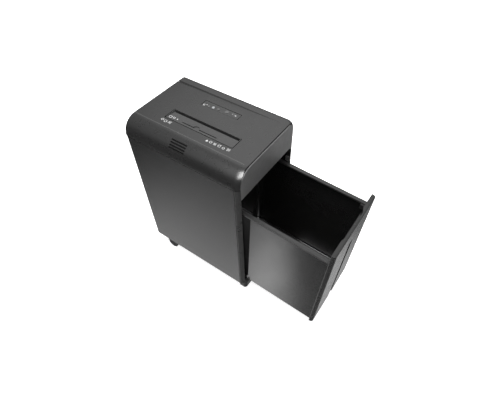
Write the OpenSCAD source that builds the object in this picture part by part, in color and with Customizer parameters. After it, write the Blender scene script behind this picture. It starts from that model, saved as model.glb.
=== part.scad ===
// Deskside paper shredder with a pull-out waste bin, on swivel casters.
// Frame: +Z up, the bin pulls out along -Y, the user stands at the -X side.

/* [Cabinet] */
// Width of the cabinet, across the long sides, mm
cabinet_w = 270; // [268:1:272]
// Depth of the cabinet, front plate to rear panel, mm
cabinet_d = 400; // [398:1:404]
// Height of the cabinet above its base, mm
cabinet_h = 526; // [522:1:530]
// Height of the base above the floor, mm
ride_h = 47; // [47:1:52]
// Wall thickness of the moulded panels, mm
wall = 3; // [2.5:0.5:3]
// Height of the joint between side panels and head cover, mm
skirt_z = 474; // [472:1:476]

/* [Head] */
// Radius of the large shoulder on the user's side, mm
shoulder_r = 49; // [46:1:52]
// Radius of the rounded edge on the far side, mm
far_edge_r = 13; // [10:1:16]
// Radius of the rounded front corners in plan, mm
nose_r = 18.7; // [16:0.1:20]
// Height of the lower edge of the front plate, mm
plate_z = 437; // [435:1:439]
// Number of ventilation slots on the shoulder
vent_slots = 4; // [3:1:4]

/* [Feed] */
// Length of the paper slot, mm
slot_l = 226; // [222:1:226]
// Width of the paper slot, mm
slot_w = 6; // [5:0.5:6]
// Length of the disc slot, mm
disc_slot_l = 120; // [119:1:122]
// Width of the disc slot, mm
disc_slot_w = 3; // [2.4:0.2:3.2]

/* [Cutters] */
// Distance between the two cutter shafts, mm
cutter_gap = 38; // [38:1:38]
// Outer radius of a cutting disc, mm
disc_r = 20.5; // [20:0.1:20.6]
// Thickness of a cutting disc, mm
disc_t = 3.4; // [3:0.1:3.5]
// Spacing of the discs on one shaft, mm
disc_pitch = 8; // [8:0.1:8]
// Number of discs on each shaft
disc_n = 30; // [20:1:30]

/* [Bin] */
// Width of the bin over its rim, mm
bin_w = 240; // [236:1:240]
// Height of the bin rim above the base, mm
rim_z = 379.4; // [379:0.1:380]
// Height of the bin floor's underside above the base, mm
bin_z = 32.4; // [32:0.1:33]
// Distance the bin is pulled out, mm
travel = 266; // [266:1:266]
// Angle that the pulled-out bin drops at its front, degrees
droop = 2.65; // [2.65:0.01:2.65]
// Width of the finger scoop behind the top of the bin front, mm
scoop_w = 125; // [110:1:130]

/* [Casters] */
// Radius of a caster wheel, mm
wheel_r = 20; // [18:0.5:20]
// Distance of a wheel's axle behind its swivel stem, mm
trail = 18; // [17:0.5:18]
// Distance of the swivel stems from the middle plane, mm
stem_x = 113; // [108:1:114]

/* [Hidden] */
$fn = 96;
eps = 0.2;
half_w = cabinet_w / 2;
inner_x = half_w - wall;
post_w = 9;
post_d = 16;
corner_r = 19;
deck = wall;
// bin, drawn level and then dropped about its rear axle
axle_y = 108;
axle_z = rim_z - 10.4;
front_y = -272;
front_t = 13;
front_bottom = bin_z - 9;
front_top = rim_z + 36;
front_edge_r = 5;
bin_rear = 104;
bin_wall = 2.5;
rim_band = 12;
rim_t = 5.4;
bin_half = bin_w / 2;
reach = front_edge_r + (front_top - front_edge_r - axle_z) * sin(droop)
    - (front_y + front_edge_r - axle_y) * cos(droop) - axle_y;
shift_y = (reach - cabinet_d) / 2;
// feed
slot_x = -16;
slot_y = 80;
recess_x0 = -54;
recess_x1 = slot_x + slot_w / 2 + 1.5;
recess_y0 = 77;
recess_y1 = slot_y + slot_l + 4;
disc_slot_x = -44.5;
disc_slot_y = 135;
// cutters
nip_x = -17;
cutter_z = 473;
a_x = nip_x + cutter_gap / 2;
b_x = nip_x - cutter_gap / 2;
core_r = 16;
journal_r = 8;
first_disc = 76;
front_plate_y = 66;
rear_plate_y = 322;
plate_t = 4;
run = 0.05;
// gears: module and teeth
sync_m = cutter_gap / 19;
sync_n = 19;
drive_m = 1.5;
drive_n = 39;
small_n = 12;
wheel_m = 1;
wheel_n = 60;
idler_d = drive_m * (drive_n + small_n) / 2;
idler_a = 12;
idler_x = a_x + idler_d * cos(idler_a);
idler_z = cutter_z + idler_d * sin(idler_a);
motor_d = wheel_m * (wheel_n + small_n) / 2;
motor_a = 8;
motor_x = idler_x + motor_d * cos(motor_a);
motor_z = idler_z + motor_d * sin(motor_a);
motor_r = 28;
// control row, running slightly outwards towards the front
row_y0 = 251;
row_y1 = 147;
row_x0 = 50;
row_x1 = 61;
function row_x(y) = row_x0 + (row_x1 - row_x0) * (row_y0 - y) / (row_y0 - row_y1);
power_y = 223;
reverse_y = 206;
forward_y = 178;
light_ys = [238, 159];
key_r = 4.5;
forward_r = 6;
board_z = 516;
inlay_x0 = 46;
inlay_x1 = 69;
inlay_y0 = 135;
inlay_y1 = 262;
// casters
axle_r = 3;
stem_r = 5.5;
wheel_z = wheel_r - ride_h;
front_stem_y = 62;
rear_stem_y = 351;
gland_x = -100;
gland_z = 486;
rocker_x = -55;
rocker_z = 493;
rocker_tilt = 7;

module seat() translate([0, shift_y, ride_h]) children();

module dropped() seat() translate([0, axle_y, axle_z]) rotate([droop, 0, 0])
    translate([0, -axle_y, -axle_z]) children();

// rectangle with its lower left corner at the origin and rounded corners
module round_rect(w, d, r) {
    translate([r, 0]) square([w - 2 * r, d]);
    translate([0, r]) square([w, d - 2 * r]);
    for (x = [r, w - r], y = [r, d - r]) translate([x, y]) circle(r);
}

// outline in X and Z, extruded along +Y from y0
module along_y(y0, len) translate([0, y0 + len, 0]) rotate([90, 0, 0])
    linear_extrude(len) children();

// outline in Y and Z, extruded along +X from x0
module along_x(x0, len) translate([x0, 0, 0]) rotate([90, 0, 90])
    linear_extrude(len) children();

module rod_y(x, z, y0, len, r) translate([x, y0 + len, z]) rotate([90, 0, 0])
    cylinder(h = len, r = r);

module rod_x(x0, y, z, len, r) translate([x0, y, z]) rotate([0, 90, 0])
    cylinder(h = len, r = r);

// section of the head: large shoulder on the near side, small radius on the far side
module head_section(t) {
    r1 = shoulder_r - t;
    r2 = far_edge_r - t;
    cx = -half_w + shoulder_r;
    cz = cabinet_h - shoulder_r;
    fx = half_w - far_edge_r;
    fz = cabinet_h - far_edge_r;
    intersection() {
        union() {
            translate([cx, cz]) circle(r1, $fn = 160);
            translate([fx, fz]) circle(r2);
            translate([cx, skirt_z - 1]) square([fx - cx, cabinet_h - t - skirt_z + 1]);
            translate([-half_w + t, skirt_z - 1]) square([shoulder_r, cz - skirt_z + 1]);
            translate([fx - 1, skirt_z - 1]) square([far_edge_r + 1 - t, fz - skirt_z + 1]);
        }
        translate([-half_w, skirt_z]) square([cabinet_w, cabinet_h - skirt_z]);
    }
}

// plan of the cabinet: wide rounding at the front corners, small at the rear
module cabinet_plan(t) intersection() {
    translate([-half_w + t, post_d - nose_r])
        round_rect(cabinet_w - 2 * t, cabinet_d + nose_r + 60, nose_r - t);
    translate([-half_w + t, -60])
        round_rect(cabinet_w - 2 * t, cabinet_d + 60 - t, 6 - t);
    translate([-half_w, 0]) square([cabinet_w, cabinet_d]);
}

// outline of the front plate, grown by g
module plate_section(g) {
    w = half_w - post_w;
    near_r = 40;
    far_r = 22;
    intersection() {
        union() {
            translate([near_r - w, cabinet_h - near_r]) circle(near_r + g, $fn = 160);
            translate([w - far_r, cabinet_h - far_r]) circle(far_r + g);
            translate([near_r - w, plate_z - g])
                square([2 * w - near_r - far_r, cabinet_h - plate_z + 2 * g]);
            translate([-w - g, plate_z - g])
                square([near_r + g, cabinet_h - near_r - plate_z + g]);
            translate([w - far_r, plate_z - g])
                square([far_r + g, cabinet_h - far_r - plate_z + g]);
        }
        translate([-half_w, plate_z - g])
            square([cabinet_w, cabinet_h - plate_z + 2 * g]);
    }
}

// spur gear outline; the first tooth points along +X
module gear_section(m, n) {
    r0 = m * n / 2;
    root = r0 - 1.15 * m;
    tip = r0 + 0.9 * m;
    step = 360 / n;
    circle(root + 0.02, $fn = 4 * n);
    for (i = [0 : n - 1]) rotate(i * step) polygon([
        [root - 0.3, -0.29 * step * PI / 180 * r0], [r0, -0.21 * step * PI / 180 * r0],
        [tip, -0.1 * step * PI / 180 * r0], [tip, 0.1 * step * PI / 180 * r0],
        [r0, 0.21 * step * PI / 180 * r0], [root - 0.3, 0.29 * step * PI / 180 * r0]]);
}

// spur gear on an axis along Y, first tooth at angle a from +X towards +Z
module gear_y(x, z, y0, len, m, n, a, bore) translate([x, y0 + len, z])
    rotate([90, 0, 0]) difference() {
        linear_extrude(len) rotate(a) gear_section(m, n);
        translate([0, 0, -1]) cylinder(h = len + 2, r = bore);
    }

module base_tray() color("#2b2c2e") seat() {
    difference() {
        union() {
            translate([-inner_x + eps, post_d, 0])
                cube([2 * inner_x - 2 * eps, cabinet_d - post_d - 2 * wall - eps, deck]);
            translate([-half_w, -9, 0]) linear_extrude(16) intersection() {
                round_rect(cabinet_w, 60, 10);
                square([cabinet_w, 9 + post_d]);
            }
            translate([-half_w, -9, -9]) linear_extrude(9.1) intersection() {
                round_rect(cabinet_w, 60, 10);
                square([cabinet_w, 9 + post_d]);
            }
            for (x = [-stem_x, stem_x], y = [front_stem_y, rear_stem_y])
                translate([x, y, 0]) cylinder(h = 14, r = 11);
            for (x = [-60, 60]) translate([x - 2, post_d, deck - 0.1])
                cube([4, cabinet_d - post_d - 2 * wall - eps, 9]);
        }
        for (x = [-stem_x, stem_x], y = [front_stem_y, rear_stem_y])
            translate([x, y, -1]) cylinder(h = 13, r = stem_r + run);
        // posts stand in pockets of the sill
        for (x = [-half_w - 1, inner_x - 6 - eps])
            translate([x, -eps, -0.05]) cube([post_w + 1 + eps, 40, 30]);
    }
}

module side_panel() {
    difference() {
        intersection() {
            translate([0, 0, 0]) linear_extrude(skirt_z) cabinet_plan(0);
            translate([-half_w, post_d, 0]) cube([wall, cabinet_d - post_d, skirt_z]);
        }
    }
    // rear flange that takes the screws of the rear panel
    difference() {
        translate([-inner_x - 0.1, cabinet_d - 12, deck + 12]) cube([12, 4, skirt_z - 60]);
        for (z = [40, 220, 400]) rod_y(-inner_x + 6, z, cabinet_d - 20, 20, 1.65);
    }
}

module near_side_panel() color("#3a3b3d") seat() side_panel();

module far_side_panel() color("#3a3b3d") seat() mirror([1, 0, 0]) side_panel();

module rear_panel() color("#313234") seat() difference() {
    translate([-inner_x + eps, cabinet_d - 2 * wall, 0.1])
        cube([2 * (inner_x - eps), wall, skirt_z - 0.4]);
    for (x = [-inner_x + 6, inner_x - 6], z = [40, 220, 400])
        rod_y(x, z, cabinet_d - 20, 30, 1.65);
    for (i = [0 : 5]) translate([-60, cabinet_d - 10, 330 + 14 * i]) cube([120, 20, 3.4]);
}

module front_post() intersection() {
    linear_extrude(skirt_z) cabinet_plan(0);
    translate([-half_w, 0, 0.1]) cube([post_w, post_d, skirt_z - 0.4]);
}

module front_post_near() color("#343537") seat() front_post();

module front_post_far() color("#343537") seat() mirror([1, 0, 0]) front_post();

// channel in which a roller of the bin runs
module bin_rail() difference() {
    translate([-inner_x + 0.1, 88, axle_z - 8])
        cube([inner_x - bin_half - 1.1, cabinet_d - 100 - 2 * wall, 16]);
    translate([-inner_x + 1.6, 86.5, axle_z - 6.1])
        cube([inner_x, cabinet_d - 100 - 2 * wall, 12.2]);
}

module bin_rail_near() color("#77797c") seat() bin_rail();

module bin_rail_far() color("#77797c") seat() mirror([1, 0, 0]) bin_rail();

module bin_guide_blocks() color("#6b6c6e") seat() for (s = [-1, 1])
    translate([s > 0 ? 122.6 : post_w - half_w + 0.1, 3, rim_z - 3.4]) cube([3.3, 13, 18]);

module sill_glides() color("#88898b") seat() for (s = [-1, 1])
    translate([s * 85 - 15, 0, 16]) difference() {
        cube([30, 14, 6.8]);
        translate([-1, 0, 5]) rotate([30, 0, 0]) translate([0, -10, 0]) cube([32, 10, 10]);
    }

module head_cover() color("#46474a") seat() difference() {
    intersection() {
        along_y(0, cabinet_d) head_section(0);
        translate([0, 0, skirt_z - 1]) linear_extrude(80) cabinet_plan(0);
    }
    difference() {
        intersection() {
            along_y(-1, cabinet_d + 1 - wall) head_section(wall);
            translate([0, 0, skirt_z - 2]) linear_extrude(80) translate([0, 0])
                square([2 * inner_x, 2 * (cabinet_d - wall)], center = true);
        }
        // thicker nose behind the rounded shoulder edge
        translate([-half_w, -2, skirt_z - 2]) cube([post_w + eps, post_d - 1, 80]);
        translate([half_w - post_w - eps, -2, skirt_z - 2]) cube([post_w + 1, post_d - 1, 80]);
    }
    along_y(-1, 5.4) plate_section(0.4);
    // recess of the feed tray
    translate([recess_x0, recess_y0, cabinet_h - 20]) linear_extrude(30)
        round_rect(recess_x1 - recess_x0, recess_y1 - recess_y0, 3);
    // pocket of the control inlay
    translate([inlay_x0, inlay_y0, cabinet_h - 1]) linear_extrude(5)
        round_rect(inlay_x1 - inlay_x0, inlay_y1 - inlay_y0, 2);
    for (y = [power_y, reverse_y]) translate([row_x(y), y, cabinet_h - 8])
        cylinder(h = 12, r = key_r + 0.3);
    translate([row_x(forward_y), forward_y, cabinet_h - 8])
        cylinder(h = 12, r = forward_r + 0.3);
    for (y = light_ys) translate([row_x(y), y, cabinet_h - 8]) cylinder(h = 12, r = 1.7);
    // crease that runs to the rear on the far side
    translate([102, 60, cabinet_h - 0.8]) cube([1.2, cabinet_d, 2]);
    for (i = [0 : vent_slots - 1]) vent_cut(34.5 + 9 * i);
    rod_y(gland_x, gland_z, cabinet_d - 10, 20, 7.1);
    rod_y(gland_x, gland_z, cabinet_d - 2, 20, 10.1);
    translate([rocker_x - 11, cabinet_d - 10, rocker_z - 15]) cube([22, 20, 30]);
}

// one ventilation slot through the shoulder at angle a above the horizontal
module vent_cut(a) translate([shoulder_r - half_w, 0, cabinet_h - shoulder_r])
    rotate([0, a, 0]) translate([-shoulder_r - 2, 0, 0]) rotate([0, 90, 0])
    linear_extrude(8) {
        translate([-1.5, 185]) square([3, 49]);
        for (y = [185, 234]) translate([0, y]) circle(1.5);
    }

module front_plate() color("#4b4c4f") seat() {
    along_y(0, 2.4) intersection() {
        plate_section(0);
        translate([-half_w, plate_z]) square([cabinet_w, cabinet_h - plate_z - 0.4]);
    }
    // rounded upper corner of the bin opening
    along_y(0, 2.4) difference() {
        translate([half_w - post_w - corner_r, plate_z - corner_r])
            square([corner_r, corner_r + 0.5]);
        translate([half_w - post_w - corner_r, plate_z - corner_r]) circle(corner_r);
        translate([half_w - post_w - corner_r - 1, plate_z - corner_r - 1])
            square([corner_r + 2, 2.2]);
    }
}

module head_chassis() color("#26272a") seat() difference() {
    union() {
        translate([-inner_x + eps, 3.3, plate_z])
            cube([2 * (inner_x - eps), cabinet_d - 3.3 - 2 * wall - eps, deck]);
        for (x = [-inner_x + eps, inner_x - eps - 2.5])
            translate([x, post_d + 0.5, plate_z])
                cube([2.5, cabinet_d - post_d - 13, skirt_z - plate_z + 3]);
        translate([-inner_x + 14, cabinet_d - 2 * wall - 2.6, plate_z])
            cube([2 * inner_x - 28, 2.4, 20]);
    }
    translate([-50, recess_y0 + 1, plate_z - 5]) cube([66, 240, 20]);
    // fixing screws of the cutter frame
    for (x = [-58, 24], y = [front_plate_y - 6, rear_plate_y + 10])
        translate([x, y, plate_z - 5]) cylinder(h = 20, r = 2.2);
    translate([-half_w, 0, plate_z - 5]) cube([post_w + 0.5, post_d + 0.5, 80]);
    translate([half_w - post_w - 0.5, 0, plate_z - 5]) cube([post_w + 1, post_d + 0.5, 80]);
}

module vent_baffle() color("#141516") seat() intersection() {
    along_y(178, 63) difference() {
        head_section(wall + 0.4);
        head_section(wall + 2.4);
    }
    translate([-half_w, 170, cabinet_h - 36]) cube([40, 80, 32]);
}

module throat_tray() color("#3b3c3f") seat() {
    near = recess_x0 + 1.8;
    lip = slot_x - slot_w / 2;
    difference() {
        translate([recess_x0 + 0.3, recess_y0 + 0.3, cabinet_h - 18]) linear_extrude(18)
            round_rect(recess_x1 - recess_x0 - 0.6, recess_y1 - recess_y0 - 0.6, 2.7);
        // floor that slopes down to the paper slot
        along_y(recess_y0 + 1.8, recess_y1 - recess_y0 - 3.6) polygon([
            [near, cabinet_h - 1.2], [lip, cabinet_h - 4], [lip + slot_w, cabinet_h - 4],
            [lip + slot_w, cabinet_h + 2], [near, cabinet_h + 2]]);
        translate([lip, slot_y, cabinet_h - 20]) cube([slot_w, slot_l, 30]);
        translate([disc_slot_x - disc_slot_w / 2, disc_slot_y, cabinet_h - 20])
            cube([disc_slot_w, disc_slot_l, 30]);
        // finger notch beside the disc slot
        intersection() {
            translate([disc_slot_x, disc_slot_y + 72, cabinet_h - 5]) cylinder(h = 20, r = 10);
            translate([disc_slot_x, disc_slot_y + 50, cabinet_h - 6]) cube([20, 50, 20]);
        }
        // hollow underside, on both sides of the disc slot
        for (r = [[recess_x0 + 2, disc_slot_x - 4], [disc_slot_x + 4, lip - 1.6]])
            translate([r[0], recess_y0 + 2, cabinet_h - 20])
                cube([r[1] - r[0], recess_y1 - recess_y0 - 4, r[0] > disc_slot_x ? 12.5 : 16]);
    }
}

module feed_chute() color("#232427") seat() difference() {
    union() {
        for (x = [slot_x - slot_w / 2 - 1.4, slot_x + slot_w / 2 + 0.2])
            translate([x, slot_y, cutter_z + 17])
                cube([1.2, slot_l, cabinet_h - 18.2 - cutter_z - 17]);
        for (y = [slot_y - 4, slot_y + slot_l + 0.1])
            translate([slot_x - slot_w / 2 - 1.4, y, cutter_z + 22])
                cube([slot_w + 2.8, 3.9, cabinet_h - 18.2 - cutter_z - 22]);
    }
    translate([slot_x, 191, 499]) cube([10, 6, 6]);
}

module control_inlay() color("#2c2d30") seat() difference() {
    translate([inlay_x0 + 0.5, inlay_y0 + 0.5, cabinet_h - 0.95]) linear_extrude(0.9)
        round_rect(inlay_x1 - inlay_x0 - 1, inlay_y1 - inlay_y0 - 1, 1.6);
    for (y = [power_y, reverse_y]) translate([row_x(y), y, cabinet_h - 8])
        cylinder(h = 12, r = key_r + 0.3);
    translate([row_x(forward_y), forward_y, cabinet_h - 8])
        cylinder(h = 12, r = forward_r + 0.3);
    for (y = light_ys) translate([row_x(y), y, cabinet_h - 8]) cylinder(h = 12, r = 1.7);
}

// key cap with a collar that keeps it in the cover and a stem onto the board
module key(y, r) translate([row_x(y), y, 0]) {
    translate([0, 0, cabinet_h - 4.6]) cylinder(h = 5.4, r = r);
    translate([0, 0, cabinet_h - wall - 1.5]) cylinder(h = 1.4, r = r + 1.6);
    translate([0, 0, board_z + 2.9]) cylinder(h = cabinet_h - board_z - 7, r = 2);
}

module power_key() color("#9fb8d8") seat() key(power_y, key_r);

module reverse_key() color("#4b4c50") seat() key(reverse_y, key_r);

module forward_key() color("#3c3d41") seat() key(forward_y, forward_r);

module status_lights() color("#c8c9cc") seat() for (y = light_ys)
    translate([row_x(y), y, board_z + 1.7]) cylinder(h = cabinet_h - board_z - 1.6, r = 1.6);

module control_board() color("#1d4a2c") seat() difference() {
    translate([inlay_x0 - 4, inlay_y0, board_z]) cube([28, inlay_y1 - inlay_y0, 1.6]);
    for (y = [inlay_y0 + 5, inlay_y1 - 5]) translate([inlay_x0, y, board_z - 1])
        cylinder(h = 4, r = 1.5);
}

module main_board() color("#1d4a2c") seat() {
    translate([48, 30, plate_z + deck + 5]) cube([70, 130, 1.6]);
    for (x = [52, 112], y = [36, 152]) translate([x, y, plate_z + deck])
        cylinder(h = 5.1, r = 3);
    translate([58, 46, plate_z + deck + 6.5]) cube([34, 28, 26]);
    translate([98, 60, plate_z + deck + 6.5]) cylinder(h = 30, r = 9);
    translate([60, 96, plate_z + deck + 6.5]) cube([18, 20, 14]);
    translate([92, 96, plate_z + deck + 6.5]) cube([10, 40, 22]);
}

module motor() color("#8a8c90") seat() {
    rod_y(motor_x, motor_z, rear_plate_y - 112, 108, motor_r);
    difference() {
        union() {
            rod_y(motor_x, motor_z, rear_plate_y - 4.1, 4, 22);
            rod_y(motor_x, motor_z, rear_plate_y - 0.2, 6, 8);
        }
        rod_y(motor_x, motor_z, rear_plate_y - 30, 60, axle_r + run);
    }
    rod_y(motor_x, motor_z, rear_plate_y - 120, 8.1, 10);
}

module motor_pinion() color("#b3b5b8") seat() {
    rod_y(motor_x, motor_z, rear_plate_y - 3.8, 37.8, axle_r);
    gear_y(motor_x, motor_z, 346, 12, wheel_m, small_n, motor_a + 180 + 180 / small_n, 2.9);
}

module idler_gear() color("#d8d2c0") seat() {
    gear_y(idler_x, idler_z, 347, 10, wheel_m, wheel_n, motor_a, axle_r + 1 + run);
    gear_y(idler_x, idler_z, 331, 16.1, drive_m, small_n, idler_a + 180 + 180 / small_n,
        axle_r + 1 + run);
}

module idler_pin() color("#b3b5b8") seat()
    rod_y(idler_x, idler_z, rear_plate_y + plate_t + 0.1, 35.8, axle_r + 1);

// toothed shaft: discs on a solid core between two journals
module cutter(x, offset, y0, y1) {
    rod_y(x, cutter_z, front_plate_y + plate_t + 1.5, rear_plate_y - front_plate_y - 7, core_r);
    rod_y(x, cutter_z, y0, y1 - y0, journal_r);
    for (i = [0 : disc_n - 1])
        rod_y(x, cutter_z, first_disc + offset + disc_pitch * i, disc_t, disc_r);
}

module cutter_shaft_a() color("#9a9ca0") seat() cutter(a_x, 0, 44, 345);

module cutter_shaft_b() color("#9a9ca0") seat()
    cutter(b_x, disc_pitch / 2, 44, rear_plate_y + plate_t + 4);

module drive_gear() color("#6f7175") seat()
    gear_y(a_x, cutter_z, 332, 12, drive_m, drive_n, idler_a, journal_r + 0.02);

module sync_gear_a() color("#6f7175") seat()
    gear_y(a_x, cutter_z, 47, 12, sync_m, sync_n, 180, journal_r + 0.02);

module sync_gear_b() color("#6f7175") seat()
    gear_y(b_x, cutter_z, 47, 12, sync_m, sync_n, 180 / sync_n, journal_r + 0.02);

module cutter_plate_front() color("#a5a7aa") seat() difference() {
    translate([-66, front_plate_y, plate_z + deck + 0.1]) cube([98, plate_t, 58]);
    for (x = [a_x, b_x]) rod_y(x, cutter_z, front_plate_y - 5, 20, journal_r + 2.05);
    for (x = [-59, 25], z = [446, 491]) rod_y(x, z, front_plate_y - 5, 20, 2.6);
}

module cutter_plate_rear() color("#a5a7aa") seat() difference() {
    translate([-66, rear_plate_y, plate_z + deck + 0.1]) cube([178, plate_t, 74]);
    for (x = [a_x, b_x]) rod_y(x, cutter_z, rear_plate_y - 5, 20, journal_r + 2.05);
    for (x = [-59, 25], z = [446, 491]) rod_y(x, z, rear_plate_y - 5, 20, 2.6);
    rod_y(motor_x, motor_z, rear_plate_y - 5, 20, 8.1);
}

module shaft_bushes() color("#b08d57") seat()
    for (x = [a_x, b_x], y = [front_plate_y - 0.6, rear_plate_y - 0.6]) difference() {
        rod_y(x, cutter_z, y, plate_t + 1.4, journal_r + 2);
        rod_y(x, cutter_z, y - 1, plate_t + 4, journal_r + run);
    }

module tie_rods() color("#b3b5b8") seat() for (x = [-59, 25], z = [446, 491]) {
    rod_y(x, z, front_plate_y + plate_t + 0.1, rear_plate_y - front_plate_y - plate_t - 0.2, 4);
    rod_y(x, z, front_plate_y - 2, plate_t + 3, 2.5);
    rod_y(x, z, rear_plate_y - 1, plate_t + 3, 2.5);
}

// comb whose fingers reach between the discs of one shaft; the bar is at x0
module comb(x, x0, x1, offset) difference() {
    union() {
        translate([min(x0, x1), front_plate_y + plate_t + 0.2, cutter_z - 8])
            cube([3, rear_plate_y - front_plate_y - plate_t - 0.4, 16]);
        for (i = [0 : disc_n - 2])
            translate([min(x, x0 + 1), first_disc + offset + disc_t + 0.6 + disc_pitch * i,
                cutter_z - 6]) cube([abs(x0 + 1 - x), disc_pitch - disc_t - 1.2, 12]);
    }
    rod_y(x, cutter_z, front_plate_y, rear_plate_y, core_r + 0.6);
}

module stripper_comb_near() color("#2a2b2d") seat() comb(b_x, -64, -61, disc_pitch / 2);

module stripper_comb_far() color("#2a2b2d") seat() comb(a_x, 27, 30, 0);

module gear_cover() color("#2a2b2d") seat() difference() {
    translate([-32, 362.2, plate_z + deck + 0.1]) cube([144, 2, 74]);
    rod_y(idler_x, idler_z, 360, 10, 2);
    translate([80, 360, plate_z + deck - 1]) cube([40, 10, 12]);
}

module paper_sensor() color("#202124") seat() {
    translate([-9, 186, 497]) cube([12, 16, 9]);
    translate([-12.6, 193, 501]) cube([3.7, 2, 2]);
}

module bin_switch() color("#202124") seat() {
    translate([96, 20, plate_z - 9]) cube([20, 8, 8.9]);
    translate([104, 22.5, plate_z - 11]) cube([4, 3, 2.1]);
}

module cord_gland() color("#1b1c1e") seat() difference() {
    union() {
        rod_y(gland_x, gland_z, cabinet_d - 18, 17.5, 7);
        rod_y(gland_x, gland_z, cabinet_d - 2, 2, 10);
        rod_y(gland_x, gland_z, cabinet_d - 8, 4.5, 9.5);
    }
    rod_y(gland_x, gland_z, cabinet_d - 30, 40, 3.8);
}

module rocker_bezel() color("#1b1c1e") seat() difference() {
    union() {
        translate([rocker_x - 10.9, cabinet_d - 20, rocker_z - 14.9]) cube([21.8, 20, 29.8]);
    }
    translate([rocker_x - 8, cabinet_d - 16, rocker_z - 11.5]) cube([16, 30, 23]);
    rod_x(rocker_x - 9.5, cabinet_d - 8, rocker_z, 19, 2 + run);
}

module power_rocker() color("#111213") seat()
    translate([rocker_x, cabinet_d - 8, rocker_z]) rotate([rocker_tilt, 0, 0]) {
        translate([-7.6, -5, -9.5]) cube([15.2, 8.5, 19]);
        rod_x(-9, 0, 0, 18, 2);
    }

module bin_plan(t) {
    w = bin_half - 0.8 - t;
    r = 25 - t;
    translate([-w, front_y + front_t + 0.1]) square([2 * w, 200]);
    translate([r - w, 0]) square([2 * w - 2 * r, bin_rear - t]);
    translate([-w, -100]) square([2 * w, 100 + bin_rear - t - r]);
    for (s = [-1, 1]) translate([s * (w - r), bin_rear - t - r]) circle(r);
}

module bin_bucket() color("#2f3032") dropped() difference() {
    translate([0, 0, bin_z]) linear_extrude(rim_z - rim_t - bin_z - 0.05) bin_plan(0);
    translate([0, 0, bin_z + bin_wall]) linear_extrude(rim_z) intersection() {
        bin_plan(bin_wall);
        translate([-bin_half, front_y + front_t + bin_wall])
            square([bin_w, bin_rear - front_y]);
    }
}

module bin_rim() color("#3d3e41") dropped() {
    difference() {
        translate([0, 0, rim_z - rim_t]) linear_extrude(rim_t) {
            translate([-bin_half, front_y + front_t + 0.1])
                square([bin_w, axle_y + 2 - front_y - front_t - 0.1]);
            translate([10 - bin_half, axle_y + 2]) square([bin_w - 20, 8]);
            for (s = [-1, 1]) translate([s * (bin_half - 10), axle_y]) circle(10);
        }
        // open towards the bin front
        translate([rim_band - bin_half, front_y + front_t - 12, rim_z - rim_t - 1])
            linear_extrude(rim_t + 5)
            round_rect(bin_w - 2 * rim_band, bin_rear - rim_band + 12 - front_y - front_t, 8);
    }
    // bearing lugs of the rear axle
    for (s = [-1, 1]) difference() {
        translate([s * 100 - 8, bin_rear + 0.3, axle_z - 5.5])
            cube([16, 9.7, 5.5 + rim_z - rim_t - axle_z + 0.1]);
        rod_x(s * 100 - 10, axle_y, axle_z, 20, axle_r + run);
    }
}

module bin_front() color("#3a3b3e") dropped() difference() {
    intersection() {
        translate([-half_w + 14, front_y, front_bottom]) linear_extrude(front_top - front_bottom)
            intersection() {
                round_rect(cabinet_w - 28, 40, 9);
                square([cabinet_w - 28, front_t]);
            }
        along_x(-half_w, cabinet_w) translate([front_y, front_bottom - 20])
            intersection() {
                round_rect(40, front_top - front_bottom + 20, front_edge_r);
                square([front_t, front_top]);
            }
        along_y(front_y - 1, front_t + 2) translate([14 - half_w, front_bottom - 20])
            round_rect(cabinet_w - 28, front_top - front_bottom + 20, 8);
    }
    // finger scoop behind the top edge, with slanting ends
    translate([0, 0, rim_z + 1]) linear_extrude(60) polygon([
        [-scoop_w / 2 - 5, front_y + front_t + 1], [-scoop_w / 2 + 15, front_y + 6.5],
        [scoop_w / 2 - 15, front_y + 6.5], [scoop_w / 2 + 5, front_y + front_t + 1]]);
    // recessed strip down the middle of the front
    translate([-11, front_y - 2, front_bottom - 2]) cube([22, 6, 322]);
}

module bin_brackets() color("#4a4b4e") dropped() for (s = [-1, 1])
    translate([s * 108.5 - 4.5, front_y + front_t + 2.6, rim_z - 22]) cube([9, 14, 16.4]);

module bin_axle() color("#b3b5b8") dropped()
    rod_x(-inner_x + 2.4, axle_y, axle_z, 2 * inner_x - 4.8, axle_r);

module bin_rollers() color("#d8d8d6") dropped() for (s = [-1, 1]) difference() {
    rod_x(s * 126 - 3.6, axle_y, axle_z, 7.2, 5.8);
    rod_x(s * 126 - 5, axle_y, axle_z, 10, axle_r + 0.02);
}

// fork of a twin-wheel caster; the stem is at the origin, the axle at +Y
module caster_fork(x, y, a) translate([x, y, 0]) rotate([0, 0, a]) {
    translate([0, 0, -7]) cylinder(h = 18, r = stem_r);
    difference() {
        union() {
            intersection() {
                rod_x(-17, trail, wheel_z, 34, wheel_r + 3.2);
                translate([-17, -10, wheel_z + 3]) cube([34, 80, 40]);
            }
            translate([-8, -8, wheel_z + 14]) cube([16, 16, wheel_r - 10.6]);
        }
        difference() {
            rod_x(-20, trail, wheel_z, 40, wheel_r + 1.4);
            rod_x(-3.5, trail, wheel_z, 7, wheel_r + 2);
        }
        rod_x(-20, trail, wheel_z, 40, axle_r + run);
    }
    difference() {
        union() {
            rod_x(-3.5, trail, wheel_z, 7, 12);
            translate([-3.5, trail - 12, wheel_z]) cube([7, 24, 10]);
        }
        rod_x(-20, trail, wheel_z, 40, axle_r + run);
    }
}

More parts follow.
